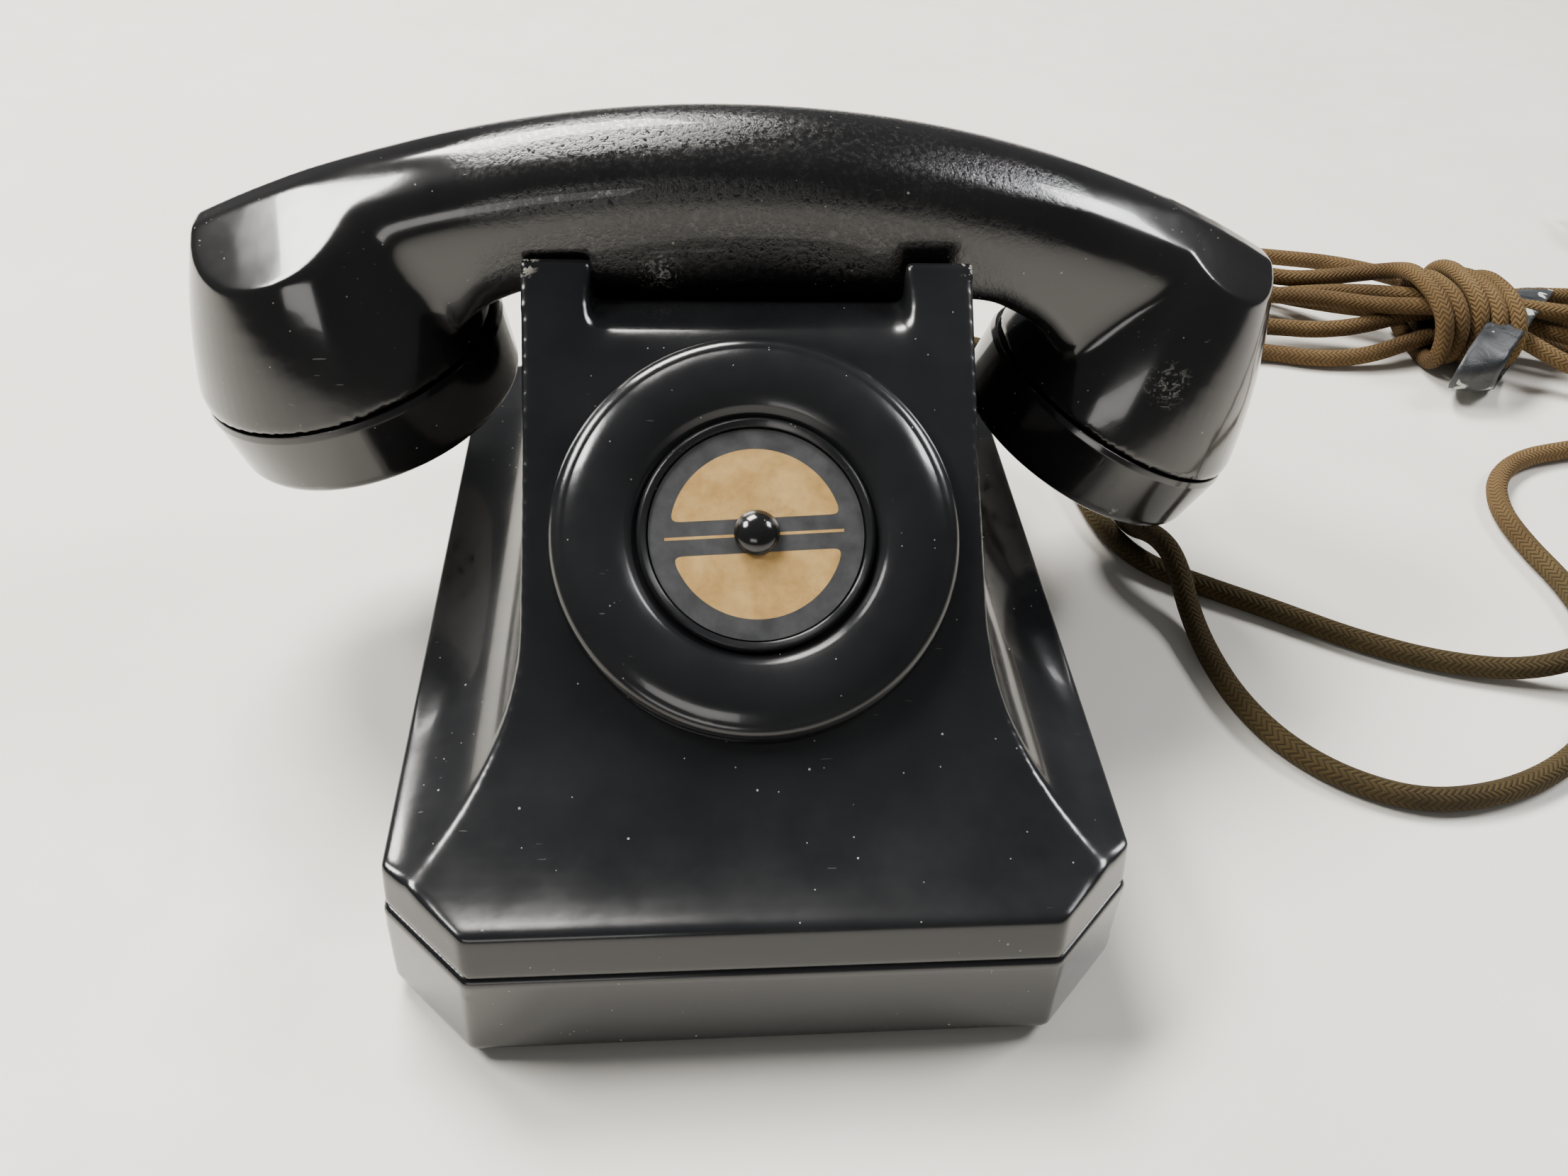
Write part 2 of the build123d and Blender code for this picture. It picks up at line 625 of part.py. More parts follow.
handset_route = [
    (30.0, gland_end, gland_z + foot_height),
    (30.0, gland_end + 10.5, gland_z + foot_height),
    (31.5, gland_end + 21.0, 9.0),
    (36.5, gland_end + 31.5, z + 1.6),
    (46.5, gland_end + 40.0, z),
    (60.5, gland_end + 44.5, z),
    (76.0, gland_end + 43.5, z),
    (90.5, gland_end + 37.0, z),
    (101.0, gland_end + 25.5, z),
    (106.5, gland_end + 10.5, z),
    (108.5, 101.0, z),
    (109.0, 84.0, z),
    (108.3, 67.0, z),
    (107.5, 51.0, z + 2.0),
    (110.0, 40.0, over),
    (112.8, 30.0, over),
    (114.2, 17.0, z + 1.5),
    (115.0, 2.0, z),
    (117.5, -13.0, z),
    (123.5, -26.0, z),
    (134.0, -36.5, z),
    (149.0, -43.0, z),
    (167.0, -41.5, z),
    (184.0, -35.5, z),
    (200.0, -25.0, z),
    (212.0, -10.0, z),
    (220.0, 8.0, z),
    (222.0, 27.0, z),
    (219.5, 44.0, z),
    (220.0, 60.0, z),
    (226.5, 74.5, z),
    (240.0, 84.5, z),
    (257.0, 88.5, z),
    (274.0, 92.0, z),
    (290.0, 99.0, z),
    (300.0, 112.0, z),
    (299.0, 129.0, z),
    (287.0, 141.0, z + 2.0),
    (270.0, 147.5, z + 4.5),
    (252.0, 149.5, z + 6.0),
    (234.0, 145.0, z + 5.2),
    (215.0, 139.5, z + 1.2),
    (197.0, 139.5, z),
    (181.0, 144.5, z),
    (163.5, 144.0, z),
    (146.5, 138.0, z),
    (131.0, 129.5, z),
    (117.5, 122.0, z + 2.2),
    (107.0, 116.8, 12.0),
    (99.7, 113.2, 25.5),
    (95.0, 108.5, 39.8),
    tuple(handset_gland_way),
    tuple(handset_gland_tip),
]

line_route = [
    (50.0, gland_end, gland_z + foot_height),
    (50.0, gland_end + 9.0, gland_z + foot_height),
    (51.4, gland_end + 19.0, 9.9),
    (56.6, gland_end + 28.2, 6.2),
    (66.0, gland_end + 34.0, z + 0.5),
    (77.0, gland_end + 34.2, z),
    (86.8, gland_end + 28.5, z),
    (92.6, gland_end + 18.5, z),
    (95.0, gland_end + 6.0, z),
    (96.5, 99.0, z),
    (98.0, 84.0, z),
    (99.5, 68.0, z),
    (101.5, 52.5, z),
    (108.0, 38.0, z),
    (122.0, 28.5, z),
    (137.0, 19.5, z),
    (155.0, 7.5, z),
    (174.0, -0.8, z),
    (194.0, -5.0, z + 1.0),
    (209.0, -5.5, over),
    (223.0, -3.5, over),
    (238.0, 0.5, z + 1.0),
    (256.0, 8.0, z),
    (273.0, 19.0, z),
    (289.0, 33.0, z),
    (303.0, 49.0, z),
    (316.0, 67.0, z),
    (327.0, 87.0, z),
    (333.0, 103.0, z),
    (336.0, 117.0, z),
    (336.5, 129.0, z),
    (334.0, 139.0, z + 0.5),
    (328.0, 147.0, z + 1.0),
    (319.0, 151.5, z + 2.0),
    (312.0, 153.5, z + 2.0),
]

hank_end = 312.0
plug_x = 358.0
plug_y = 217.0
plug_z = 12.0

tail_route = [
    (hank_end, 160.5, z),
    (322.0, 161.0, z),
    (333.5, 163.5, z),
    (344.5, 169.0, z),
    (352.5, 178.5, z + 0.3),
    (356.6, 190.0, z + 2.8),
    (plug_x, 200.0, 9.6),
    (plug_x, 209.0, plug_z),
    (plug_x, plug_y, plug_z),
]


def build_hank():
    """Bundle of spare cord: fanned loops, a waist of binding turns and a straight tied part."""
    fan = [(152, 132), (230, 131), (238, 150), (232, 188), (202, 210), (160, 206)]
    loops = extrude(make_face(Polyline(*fan, close=True)), amount=13.0)
    waist = fillet(box(227, 257, 129, 165, 0, 25).edges().filter_by(Axis.X), 9.0)
    tied = fillet(box(250, hank_end, 122, 165, 0, 16).edges().filter_by(Axis.X), 6.0)
    return loops + waist + tied


def build_tape():
    """Strip of tape wound once round the tied part of the bundle."""
    outer = fillet(box(259, 275, 120.6, 166.4, 0.0, 17.4).edges().filter_by(Axis.X), 7.0)
    inner = fillet(box(258, 276, 121.9, 165.1, -0.1, 16.1).edges().filter_by(Axis.X), 6.0)
    return outer - inner


def build_plug():
    """Round four-pin plug on the free end of the line cord."""
    body = turned([(0, 0), (5.5, 0), (11.0, 7.0), (11.9, 9.0), (11.9, 24.0), (11.0, 25.0), (0, 25.0)])
    for x, y in ((-5, -5), (5, -5), (-5, 5), (5, 5)):
        body += cylinder(x, y, 24.5, 1.7, 10.5)
    return Pos(plug_x, plug_y, plug_z) * Rot(-90, 0, 0) * body


# ---------------------------------------------------------------- write every node
save("housing", build_housing())
save("base_pan", build_pan())
save("base_screws", build_screws())
save("feet", build_feet())

save("blank_disc", build_disc())
save("label_bezel", build_bezel())
save("label_plate", build_label())
save("centre_button", build_button())
save("disc_bracket", build_disc_bracket())

save("plunger_left", build_plunger(plunger_xs[0]))
save("plunger_right", build_plunger(plunger_xs[1]))
save("plunger_bush_left", build_bush(plunger_xs[0]))
save("plunger_bush_right", build_bush(plunger_xs[1]))
save("hook_lever", build_lever())
save("lever_pin", build_lever_pin())
save("switch_bracket", build_switch_bracket())
save("contact_springs", build_contact_springs())
save("switch_post", build_switch_post())

save("ringer_frame", build_ringer_frame())
for side, name in ((-1, "left"), (1, "right")):
    save(f"gong_{name}", build_gong(side))
    save(f"gong_post_{name}", build_gong_post(side))
    save(f"ringer_coil_{name}", build_ringer_coil(side))
save("clapper", build_clapper())
save("capacitor", build_capacitor())
save("induction_coil", build_induction_coil())
save("terminal_board", build_terminal_board())
save("terminal_screws", build_terminals())

save("handset_handle", build_handle())
for end in cups:
    save(f"{end}_cap", build_cap(end))
    save(f"{end}_unit", build_unit(end))
save("handset_gland", build_handset_gland())

for x, name in gland_places:
    save(f"{name}_cord_gland", build_gland(x))
save_in_frame("handset_cord", cord_tube(handset_route))
save_in_frame("line_cord", cord_tube(line_route))
save_in_frame("line_cord_tail", cord_tube(tail_route))
save_in_frame("cord_hank", build_hank())
save_in_frame("hank_tape", build_tape())
save_in_frame("line_plug", build_plug())
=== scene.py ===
import json
import math

import bpy
import numpy as np
from mathutils import Matrix, Vector, noise


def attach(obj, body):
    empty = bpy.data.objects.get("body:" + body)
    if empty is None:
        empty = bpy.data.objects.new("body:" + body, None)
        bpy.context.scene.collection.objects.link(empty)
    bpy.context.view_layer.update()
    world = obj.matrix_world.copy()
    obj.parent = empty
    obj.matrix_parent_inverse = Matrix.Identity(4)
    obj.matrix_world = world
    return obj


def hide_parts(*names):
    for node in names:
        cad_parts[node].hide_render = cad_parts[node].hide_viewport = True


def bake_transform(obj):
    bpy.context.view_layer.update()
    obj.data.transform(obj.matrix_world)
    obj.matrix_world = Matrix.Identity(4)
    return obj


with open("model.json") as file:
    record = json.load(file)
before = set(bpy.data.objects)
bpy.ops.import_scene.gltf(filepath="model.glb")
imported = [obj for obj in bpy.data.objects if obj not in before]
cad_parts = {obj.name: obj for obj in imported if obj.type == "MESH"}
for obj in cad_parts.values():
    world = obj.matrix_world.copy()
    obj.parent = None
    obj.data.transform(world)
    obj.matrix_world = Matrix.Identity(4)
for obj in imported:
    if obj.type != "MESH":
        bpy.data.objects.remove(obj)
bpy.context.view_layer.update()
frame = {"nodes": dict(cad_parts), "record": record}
nodes = frame["nodes"]
MM = 0.001
MIDDLE = -3.0  # the base's plane of symmetry, in millimetres


# ---------------------------------------------------------------- camera
def aim_camera():
    """Camera at the photographed viewing angle."""
    pitch, yaw, roll = (math.radians(a) for a in (42.24, 6.37, 3.65))
    level = Matrix(((1, 0, 0), (0, 0, -1), (0, 1, 0)))
    turn_yaw = Matrix.Rotation(yaw, 3, "Z")
    turn_pitch = Matrix.Rotation(pitch, 3, "X")
    turn_roll = Matrix.Rotation(roll, 3, "Z")
    rows = turn_roll @ turn_pitch @ level @ turn_yaw
    right, down, ahead = rows
    eye = Vector((MIDDLE - 13.9, -201.65, 214.1)) * MM
    data = bpy.data.cameras.new("camera")
    data.lens = 28.26
    data.sensor_width = 36.0
    data.clip_start = 0.01
    camera = bpy.data.objects.new("camera", data)
    bpy.context.collection.objects.link(camera)
    camera.matrix_world = Matrix(
        (
            (right.x, -down.x, -ahead.x, eye.x),
            (right.y, -down.y, -ahead.y, eye.y),
            (right.z, -down.z, -ahead.z, eye.z),
            (0, 0, 0, 1),
        )
    )
    bpy.context.scene.camera = camera


aim_camera()


# ---------------------------------------------------------------- node helpers
class Nodes:
    """Small wrapper that builds a material's node tree."""

    def __init__(self, name):
        self.material = bpy.data.materials.new(name)
        self.material.use_nodes = True
        self.tree = self.material.node_tree
        self.shader = self.tree.nodes["Principled BSDF"]
        self.coords = self.add("ShaderNodeTexCoord").outputs["Object"]

    def add(self, kind, **settings):
        node = self.tree.nodes.new(kind)
        for key, value in settings.items():
            setattr(node, key, value)
        return node

    def put(self, socket, value):
        if isinstance(value, bpy.types.NodeSocket):
            self.tree.links.new(value, socket)
        elif value is not None:
            socket.default_value = value

    def math(self, operation, a, b=None, clamp=False):
        node = self.add("ShaderNodeMath", operation=operation, use_clamp=clamp)
        self.put(node.inputs[0], a)
        self.put(node.inputs[1], b)
        return node.outputs[0]

    def rounded_max(self, a, b, radius=2.6):
        """The larger of two values, blended where they are close, which rounds a shape's corner."""
        node = self.add("ShaderNodeMath", operation="SMOOTH_MAX")
        for socket, value in zip(node.inputs, (a, b, radius)):
            self.put(socket, value)
        return node.outputs[0]

    def noise(self, scale, detail=3.0, rough=0.55, stretch=None, distortion=0.0):
        node = self.add("ShaderNodeTexNoise")
        self.put(node.inputs["Vector"], self.stretched(stretch))
        node.inputs["Scale"].default_value = scale
        node.inputs["Detail"].default_value = detail
        node.inputs["Roughness"].default_value = rough
        node.inputs["Distortion"].default_value = distortion
        return node.outputs["Fac"]

    def stretched(self, stretch):
        """The object's coordinates, turned and scaled where stretch gives a rotation and a scale."""
        if stretch is None:
            return self.coords
        node = self.add("ShaderNodeMapping")
        self.put(node.inputs["Vector"], self.coords)
        node.inputs["Rotation"].default_value = stretch[0]
        node.inputs["Scale"].default_value = stretch[1]
        return node.outputs[0]

    def ramp(self, value, *stops):
        node = self.add("ShaderNodeValToRGB")
        self.put(node.inputs[0], value)
        elements = node.color_ramp.elements
        while len(elements) < len(stops):
            elements.new(0.5)
        for element, (place, color) in zip(elements, stops):
            element.position = place
            level = (color, color, color, 1) if isinstance(color, (int, float)) else (*color, 1)
            element.color = level
        return node.outputs[0]

    def mix(self, factor, a, b):
        node = self.add("ShaderNodeMix", data_type="RGBA")
        self.put(node.inputs[0], factor)
        self.put(node.inputs[6], a if isinstance(a, bpy.types.NodeSocket) else (*a, 1))
        self.put(node.inputs[7], b if isinstance(b, bpy.types.NodeSocket) else (*b, 1))
        return node.outputs[2]

    def near(self, point, radius, soft=0.5):
        """1 near a point given from the middle of the base, fading to 0 at the radius."""
        node = self.add("ShaderNodeVectorMath", operation="DISTANCE")
        self.put(node.inputs[0], self.coords)
        node.inputs[1].default_value = ((point[0] + MIDDLE) * MM, point[1] * MM, point[2] * MM)
        share = self.math("DIVIDE", node.outputs["Value"], radius * MM)
        return self.ramp(share, (1 - soft, 1.0), (1.0, 0.0))

    def specks(self, scale, share, size=0.12):
        """Sparse round specks: 1 inside one."""
        node = self.add("ShaderNodeTexVoronoi")
        self.put(node.inputs["Vector"], self.coords)
        node.inputs["Scale"].default_value = scale
        inside = self.math("LESS_THAN", node.outputs["Distance"], size)
        split = self.add("ShaderNodeSeparateColor")
        self.put(split.inputs[0], node.outputs["Color"])
        chosen = self.math("LESS_THAN", split.outputs[0], share)
        return self.math("MULTIPLY", inside, chosen)

    def bump(self, height, strength, distance, under=None):
        node = self.add("ShaderNodeBump")
        self.put(node.inputs["Height"], height)
        node.inputs["Strength"].default_value = strength
        node.inputs["Distance"].default_value = distance
        if under is not None:
            self.put(node.inputs["Normal"], under)
        return node.outputs[0]

    def rounded(self, radius):
        node = self.add("ShaderNodeBevel", samples=4)
        node.inputs["Radius"].default_value = radius * MM
        return node.outputs[0]

    def finish(self, color, rough, normal=None, **constants):
        self.put(self.shader.inputs["Base Color"], color)
        self.put(self.shader.inputs["Roughness"], rough)
        if normal is not None:
            self.put(self.shader.inputs["Normal"], normal)
        for key, value in constants.items():
            self.shader.inputs[key.replace("_", " ")].default_value = value
        return self.material


def scratches(n, density, angle, scale=60.0):
    """Fine straight scratches in one direction: 1 on a scratch."""
    lines = n.noise(scale, 1.0, 0.4, stretch=((angle, angle * 0.7, angle * 1.9), (1.0, 14.0, 14.0)))
    return n.ramp(lines, (density, 0.0), (density + 0.012, 1.0))


# ---------------------------------------------------------------- materials
def make_enamel():
    """Old glossy black enamel on metal: haze, dust, scratches and chips down to pale undercoat."""
    n = Nodes("black_enamel")
    cloud = n.noise(28, 5, 0.6)
    fine = n.noise(420, 3, 0.6)
    marks = n.math("MAXIMUM", scratches(n, 0.78, 0.9, 130), scratches(n, 0.79, 2.2, 190))
    marks = n.math("MULTIPLY", marks, n.ramp(n.noise(45, 2), (0.55, 0.0), (0.66, 1.0)))
    dust = n.math("MAXIMUM", n.specks(520, 0.014, 0.12), n.specks(1300, 0.012, 0.18))
    chips = n.near((-44.5, 19.5, 98.2), 4.0, 0.8)
    chips = n.math("MAXIMUM", chips, n.near((44.8, 19.8, 98.4), 4.5, 0.8))
    chips = n.math("MAXIMUM", chips, n.near((46, 59, 98.5), 6, 0.8))
    chips = n.math("MULTIPLY", chips, n.ramp(n.noise(430, 4, 0.65), (0.53, 0.0), (0.57, 1.0)))
    pits = n.specks(130, 0.008, 0.06)
    shade = n.ramp(cloud, (0.3, (0.0055, 0.0058, 0.0066)), (0.75, (0.013, 0.0135, 0.0145)))
    color = n.mix(n.math("MULTIPLY", marks, 0.35), shade, (0.16, 0.155, 0.145))
    color = n.mix(n.math("MULTIPLY", dust, 0.6), color, (0.42, 0.41, 0.38))
    color = n.mix(n.math("MAXIMUM", chips, pits), color, (0.55, 0.53, 0.46))
    rough = n.ramp(cloud, (0.25, 0.1), (0.8, 0.27))
    rough = n.math("ADD", rough, n.math("MULTIPLY", n.math("ADD", marks, dust), 0.25), clamp=True)
    height = n.math("ADD", n.math("MULTIPLY", n.noise(160, 3), 0.5), n.math("MULTIPLY", fine, 0.08))
    height = n.math("SUBTRACT", height, n.math("MULTIPLY", n.math("MAXIMUM", chips, marks), 0.6))
    normal = n.bump(height, 0.16, 0.0004, n.rounded(0.7))
    return n.finish(color, rough, normal, IOR=1.5, Coat_Weight=0.35, Coat_Roughness=0.06)


def make_bakelite():
    """Black moulded phenolic, polished but handled: haze, scratches, pebbled grip and small scuffs."""
    n = Nodes("bakelite")
    cloud = n.noise(22, 5, 0.62)
    marks = n.math("MAXIMUM", scratches(n, 0.77, 1.3, 120), scratches(n, 0.78, 2.6, 170))
    marks = n.math("MULTIPLY", marks, n.ramp(n.noise(40, 2), (0.52, 0.0), (0.64, 1.0)))
    dust = n.math("MAXIMUM", n.specks(500, 0.012, 0.12), n.specks(1200, 0.012, 0.18))
    height = n.math("MULTIPLY", n.noise(140, 3), 0.35)
    rough = n.ramp(cloud, (0.25, 0.08), (0.8, 0.24))
    pale = n.math("MULTIPLY", dust, 0.55)
    grain = n.ramp(n.noise(980, 4, 0.7), (0.42, 0.0), (0.68, 1.0))
    pebble = n.math("MULTIPLY", n.near((6, 38, 112), 66, 0.55), grain)
    height = n.math("ADD", height, n.math("MULTIPLY", pebble, 2.2))
    rough = n.math("ADD", rough, n.math("MULTIPLY", pebble, 0.2), clamp=True)
    scuffs = n.near((-17.7, 23.8, 94.5), 5.5, 0.9)
    faint = n.math("MULTIPLY", n.near((91.0, 17.0, 72), 6.0, 0.9), 0.5)
    scuffs = n.math("MAXIMUM", scuffs, faint)
    scuffs = n.math("MAXIMUM", scuffs, n.near((84, 10, 40), 3.5, 0.7))
    rays = n.ramp(n.noise(520, 5, 0.75, distortion=1.5), (0.53, 0.0), (0.58, 1.0))
    worn = n.math("MULTIPLY", scuffs, rays)
    pale = n.math("MAXIMUM", pale, n.math("MULTIPLY", worn, 0.8))
    color = n.ramp(cloud, (0.3, (0.0052, 0.0050, 0.0052)), (0.75, (0.0115, 0.0108, 0.0105)))
    color = n.mix(n.math("MULTIPLY", marks, 0.4), color, (0.14, 0.135, 0.125))
    color = n.mix(pale, color, (0.5, 0.49, 0.45))
    rough = n.math("ADD", rough, n.math("MULTIPLY", n.math("ADD", marks, dust), 0.25), clamp=True)
    height = n.math("SUBTRACT", height, n.math("MULTIPLY", marks, 0.5))
    normal = n.bump(height, 0.14, 0.0004, n.rounded(0.5))
    return n.finish(color, rough, normal, IOR=1.56, Coat_Weight=0.3, Coat_Roughness=0.04)


def make_braid():
    """Brown cotton braid of two crossing sets of yarns. Its UV is turns round and millimetres along."""
    n = Nodes("brown_braid")
    split = n.add("ShaderNodeSeparateXYZ")
    n.put(split.inputs[0], n.add("ShaderNodeTexCoord").outputs["UV"])
    around = n.math("MULTIPLY", split.outputs[0], 12.0)
    along = n.math("MULTIPLY", split.outputs[1], 0.62)
    left = n.math("FRACT", n.math("ADD", around, along))
    right = n.math("FRACT", n.math("SUBTRACT", around, along))
    over = n.math("GREATER_THAN", n.math("FRACT", n.math("MULTIPLY", around, 0.5)), 0.5)
    crown_l = n.math("SINE", n.math("MULTIPLY", left, math.pi))
    crown_r = n.math("SINE", n.math("MULTIPLY", right, math.pi))
    under = n.math("SUBTRACT", 1.0, over)
    pick = n.math("ADD", n.math("MULTIPLY", crown_l, over), n.math("MULTIPLY", crown_r, under))
    fuzz = n.noise(2600, 4, 0.7)
    patch = n.noise(24, 4, 0.6)
    cord_stops = ((0.3, (0.030, 0.020, 0.007)), (0.52, (0.055, 0.038, 0.013)), (0.75, (0.090, 0.065, 0.025)))
    spare_stops = ((0.3, (0.075, 0.043, 0.016)), (0.52, (0.130, 0.078, 0.029)), (0.75, (0.200, 0.130, 0.054)))
    cord = n.ramp(patch, *cord_stops)
    spare = n.ramp(patch, *spare_stops)
    base = n.mix(n.near((240, 148, 6), 125, 0.35), cord, spare)
    # painted shade: the braid's colour is darkened in the crevices between the yarns, where pick (the yarn
    # crown) is low
    dark = n.mix(n.ramp(pick, (0.1, 0.75), (0.65, 0.0)), base, (0.016, 0.011, 0.006))
    color = n.mix(n.math("MULTIPLY", n.ramp(fuzz, (0.58, 0.0), (0.74, 1.0)), 0.3), dark, (0.2, 0.15, 0.085))
    height = n.math("ADD", n.math("MULTIPLY", pick, 0.8), n.math("MULTIPLY", fuzz, 0.4))
    normal = n.bump(height, 0.7, 0.0005)
    return n.finish(color, n.ramp(fuzz, (0.3, 0.72), (0.7, 0.92)), normal, Specular_IOR_Level=0.2)


def make_tape():
    """Old friction tape: slate-black, creased, with pale flakes of paint."""
    n = Nodes("friction_tape")
    crease = n.noise(150, 5, 0.6, distortion=0.8)
    flakes = n.ramp(n.noise(105, 4, 0.55), (0.58, 0.0), (0.6, 1.0))
    shade = n.ramp(crease, (0.3, (0.010, 0.012, 0.014)), (0.7, (0.034, 0.038, 0.043)))
    color = n.mix(flakes, shade, (0.52, 0.55, 0.5))
    normal = n.bump(n.math("ADD", crease, n.math("MULTIPLY", flakes, 0.3)), 0.5, 0.001)
    return n.finish(color, n.ramp(crease, (0.3, 0.35), (0.7, 0.6)), normal)


def make_label():
    """Dark card with two tan half-round fields and a thin tan line between them."""
    n = Nodes("dark_card")
    tilt = math.radians(37.56)  # slope of the face
    turn = math.radians(2.6)  # the label sits a little askew
    field_radius = 16.2
    upper_start, lower_start = 2.9, -3.75
    line_place, line_half, line_middle = -0.3, 16.8, -0.4
    across = Vector((math.cos(turn), math.sin(turn) * math.cos(tilt), math.sin(turn) * math.sin(tilt)))
    up = Vector((-math.sin(turn), math.cos(turn) * math.cos(tilt), math.cos(turn) * math.sin(tilt)))
    middle = n.add("ShaderNodeVectorMath", operation="SUBTRACT")
    n.put(middle.inputs[0], n.coords)
    middle.inputs[1].default_value = (MIDDLE * MM, -0.024, 0.06505)
    place = []
    for way in (across, up):
        dot = n.add("ShaderNodeVectorMath", operation="DOT_PRODUCT")
        n.put(dot.inputs[0], middle.outputs[0])
        dot.inputs[1].default_value = way * 1000.0
        place.append(dot.outputs["Value"])
    far = n.math("SQRT", n.math("ADD", n.math("POWER", place[0], 2.0), n.math("POWER", place[1], 2.0)))
    arc = n.math("SUBTRACT", far, field_radius)
    upper = n.rounded_max(arc, n.math("SUBTRACT", upper_start, place[1]))
    lower = n.rounded_max(arc, n.math("SUBTRACT", place[1], lower_start))
    field = n.ramp(n.math("MINIMUM", upper, lower), (0.0, 1.0), (0.08, 0.0))
    line = n.math("ABSOLUTE", n.math("SUBTRACT", place[1], line_place))
    along = n.math("ABSOLUTE", n.math("SUBTRACT", place[0], line_middle))
    line = n.math("MULTIPLY", n.ramp(line, (0.24, 1.0), (0.3, 0.0)), n.math("LESS_THAN", along, line_half))
    stain = n.noise(190, 5, 0.65)
    dirt = n.ramp(n.noise(700, 4, 0.7), (0.5, 0.0), (0.7, 1.0))
    smudge = n.math("MULTIPLY", n.near((4.5, -21.0, 67), 6.5, 0.9), dirt)
    tan = n.ramp(stain, (0.3, (0.37, 0.215, 0.065)), (0.7, (0.60, 0.385, 0.14)))
    tan = n.mix(n.math("MULTIPLY", smudge, 0.7), tan, (0.1, 0.075, 0.04))
    card = n.ramp(n.noise(260, 4, 0.6), (0.3, (0.036, 0.037, 0.038)), (0.72, (0.07, 0.071, 0.073)))
    color = n.mix(n.math("MAXIMUM", field, line), card, tan)
    normal = n.bump(n.noise(1500, 3), 0.1, 0.0002)
    rough = n.ramp(stain, (0.3, 0.28), (0.7, 0.45))
    return n.finish(color, rough, normal, Coat_Weight=0.3, Coat_Roughness=0.12)


def make_plain(name, low, high, rough, metallic=0.0, scale=90, grain=0.1, **constants):
    """A simple finish with mottled colour, uneven roughness and fine grain."""
    n = Nodes(name)
    mottle = n.noise(scale, 5, 0.62)
    fine = n.noise(scale * 9, 3, 0.6)
    color = n.ramp(mottle, (0.3, low), (0.72, high))
    level = n.ramp(fine, (0.25, rough[0]), (0.75, rough[1]))
    normal = n.bump(fine, grain, 0.0003, n.rounded(0.25))
    return n.finish(color, level, normal, Metallic=metallic, **constants)


materials = {
    "black_enamel": make_enamel(),
    "bakelite": make_bakelite(),
    "dark_card": make_label(),
    "brown_braid": make_braid(),
    "friction_tape": make_tape(),
    "black_rubber": make_plain(
        "black_rubber", (0.014, 0.013, 0.012), (0.034, 0.031, 0.028), (0.55, 0.8), grain=0.25
    ),
    "steel": make_plain("steel", (0.33, 0.32, 0.30), (0.55, 0.54, 0.52), (0.3, 0.5), 1.0),
    "brass": make_plain("brass", (0.45, 0.31, 0.12), (0.72, 0.53, 0.25), (0.25, 0.45), 1.0),
    "insulation": make_plain("insulation", (0.09, 0.045, 0.022), (0.17, 0.09, 0.045), (0.45, 0.65)),
    "coil_tape": make_plain("coil_tape", (0.055, 0.075, 0.04), (0.11, 0.13, 0.07), (0.6, 0.85), grain=0.3),
    "aluminium": make_plain("aluminium", (0.5, 0.5, 0.5), (0.72, 0.72, 0.73), (0.28, 0.45), 1.0),
}

slots = {s["node"]: s["material_slot"] for s in frame["record"]["subparts"]}
for node, slot_name in slots.items():
    piece = nodes[node]
    if not piece.material_slots:
        piece.data.materials.append(materials[slot_name])
    for material_slot in piece.material_slots:
        material_slot.material = materials[slot_name]


# ---------------------------------------------------------------- cords
# Routes are in millimetres from the middle of the base, as in the CAD source.
CORD = 5.6
Z = 2.9  # height of a cord that lies on the floor
OVER = Z + CORD + 3.2  # height of a cord that passes over another

handset_route = [
    (30.0, 107.0, 12.5), (30.0, 117.5, 12.5), (31.5, 128.0, 9.0), (36.5, 138.5, Z + 1.6),
    (46.5, 147.0, Z),
    (60.5, 151.5, Z), (76.0, 150.5, Z), (90.5, 144.0, Z), (101.0, 132.5, Z), (106.5, 117.5, Z),
    (108.5, 101.0, Z), (109.0, 84.0, Z), (108.3, 67.0, Z), (107.5, 51.0, Z + 2.0), (110.0, 40.0, OVER),
    (112.8, 30.0, OVER), (114.2, 17.0, Z + 1.5), (115.0, 2.0, Z), (117.5, -13.0, Z), (123.5, -26.0, Z),
    (134.0, -36.5, Z), (149.0, -43.0, Z), (167.0, -41.5, Z), (184.0, -35.5, Z), (200.0, -25.0, Z),
    (212.0, -10.0, Z), (220.0, 8.0, Z), (222.0, 27.0, Z), (219.5, 44.0, Z), (220.0, 60.0, Z),
    (226.5, 74.5, Z), (240.0, 84.5, Z), (257.0, 88.5, Z), (274.0, 92.0, Z), (290.0, 99.0, Z),
    (300.0, 112.0, Z), (299.0, 129.0, Z), (287.0, 141.0, Z + 2.0), (270.0, 147.5, Z + 4.5),
    (252.0, 149.5, Z + 6.0),
    (234.0, 145.0, Z + 5.2), (215.0, 139.5, Z + 1.2), (197.0, 139.5, Z), (181.0, 144.5, Z),
    (163.5, 144.0, Z),
    (146.5, 138.0, Z), (131.0, 129.5, Z), (117.5, 122.0, Z + 2.2), (107.0, 116.8, 12.0),
    (99.7, 113.2, 25.5),
    (95.0, 108.5, 39.8), (91.82, 98.67, 52.69), (92.84, 83.89, 58.76),
]

